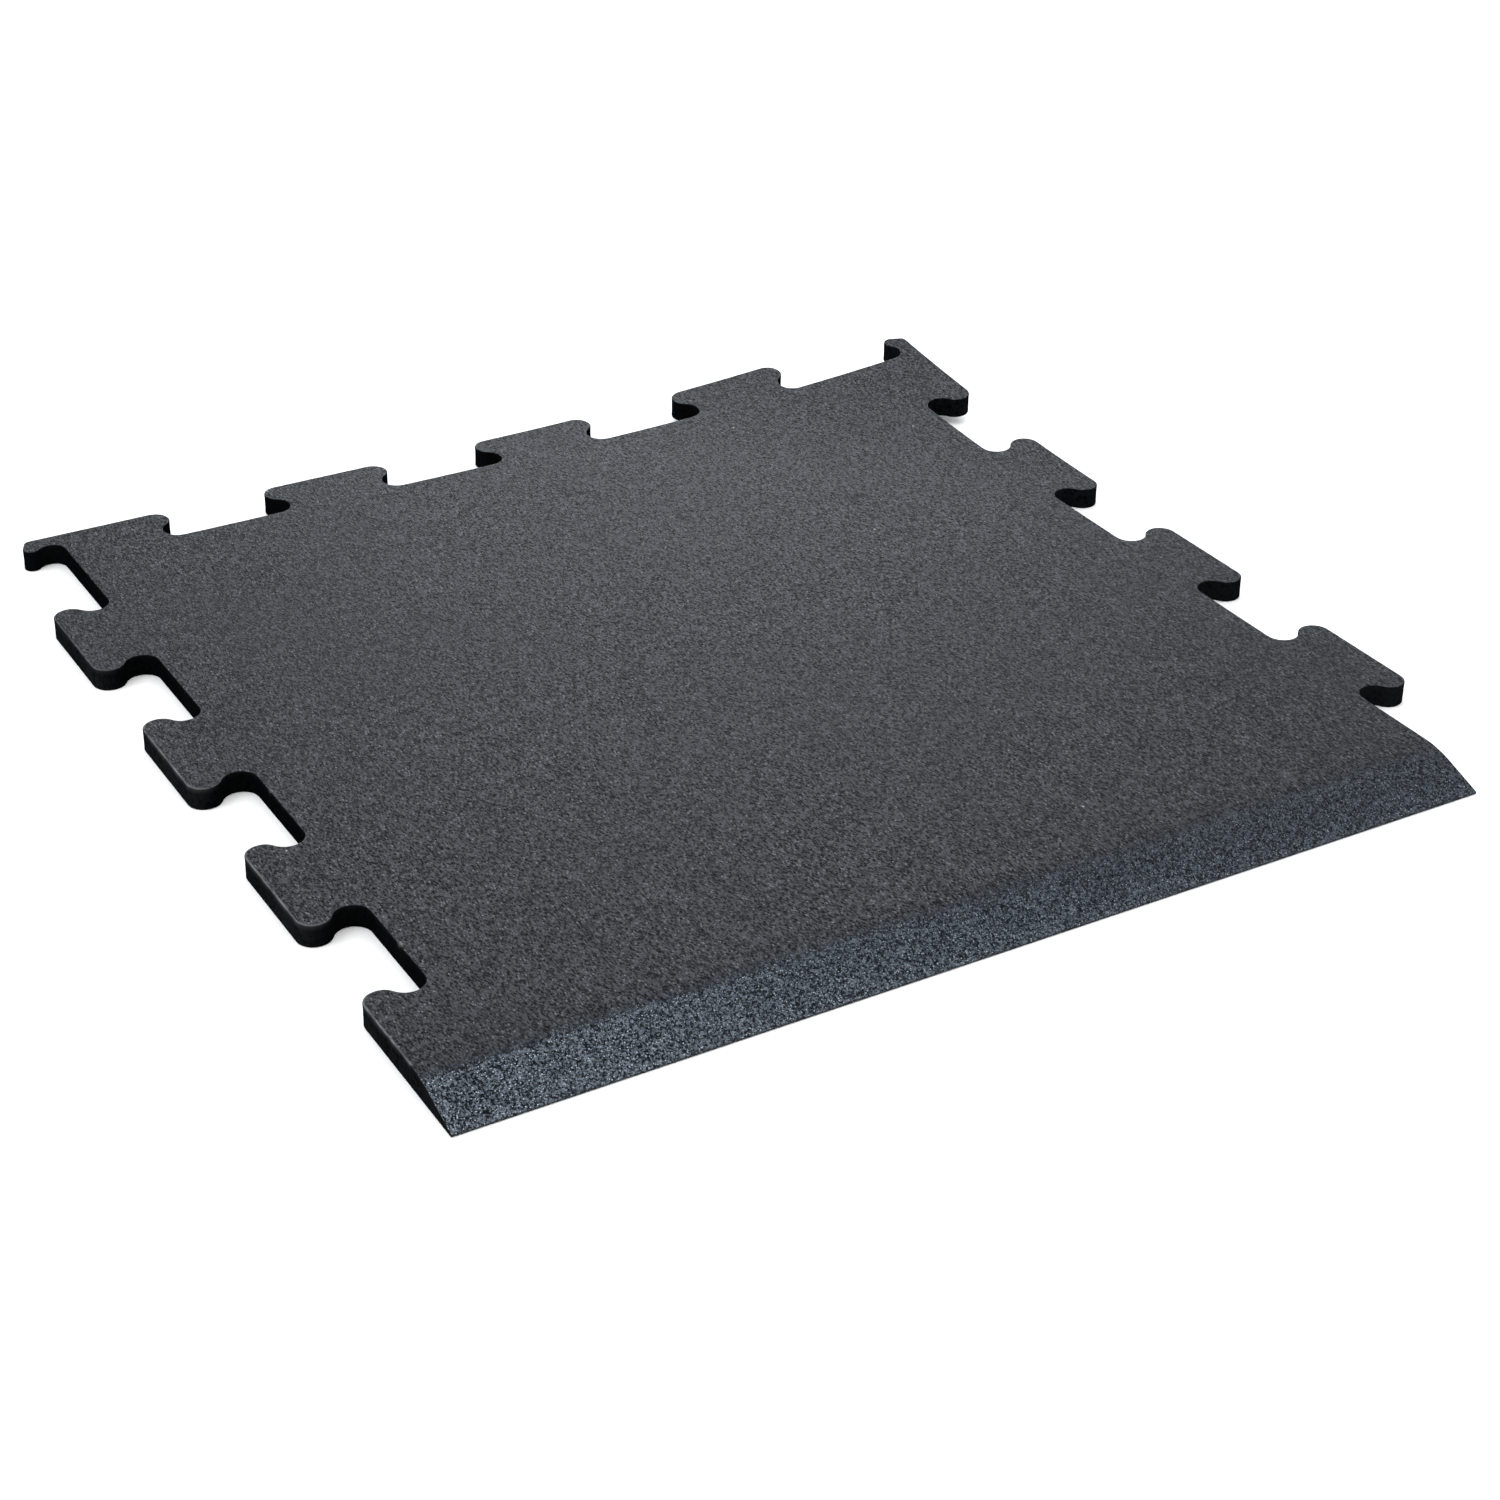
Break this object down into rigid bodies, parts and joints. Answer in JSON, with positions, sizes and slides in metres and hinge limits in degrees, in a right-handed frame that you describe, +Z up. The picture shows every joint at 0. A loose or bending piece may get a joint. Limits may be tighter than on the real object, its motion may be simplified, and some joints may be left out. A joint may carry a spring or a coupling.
{
  "type": "interlocking gym floor tile",
  "caption": "Flat black rubber gym floor tile, the edge type: dovetail tabs and sockets along three sides, and a ramp down to the floor along the fourth.",
  "frame": {"origin": "middle of the tile's bounding box, on its underside, where it lies on the floor", "axes": "+Z up through the thickness, +X to the right along the ramp, +Y from the ramp's foot to the tabs at the back; the ramp faces -Y"},
  "size_m": [0.6, 0.5982, 0.0268],
  "materials": {
    "bonded_rubber": "matt black bonded rubber crumb: a smooth pressed face on top, smooth cut sides, and a ground ramp that shows the crumb"
  },
  "bodies": {
    "root": {"tile": "bonded_rubber"}
  },
  "joints": []
}
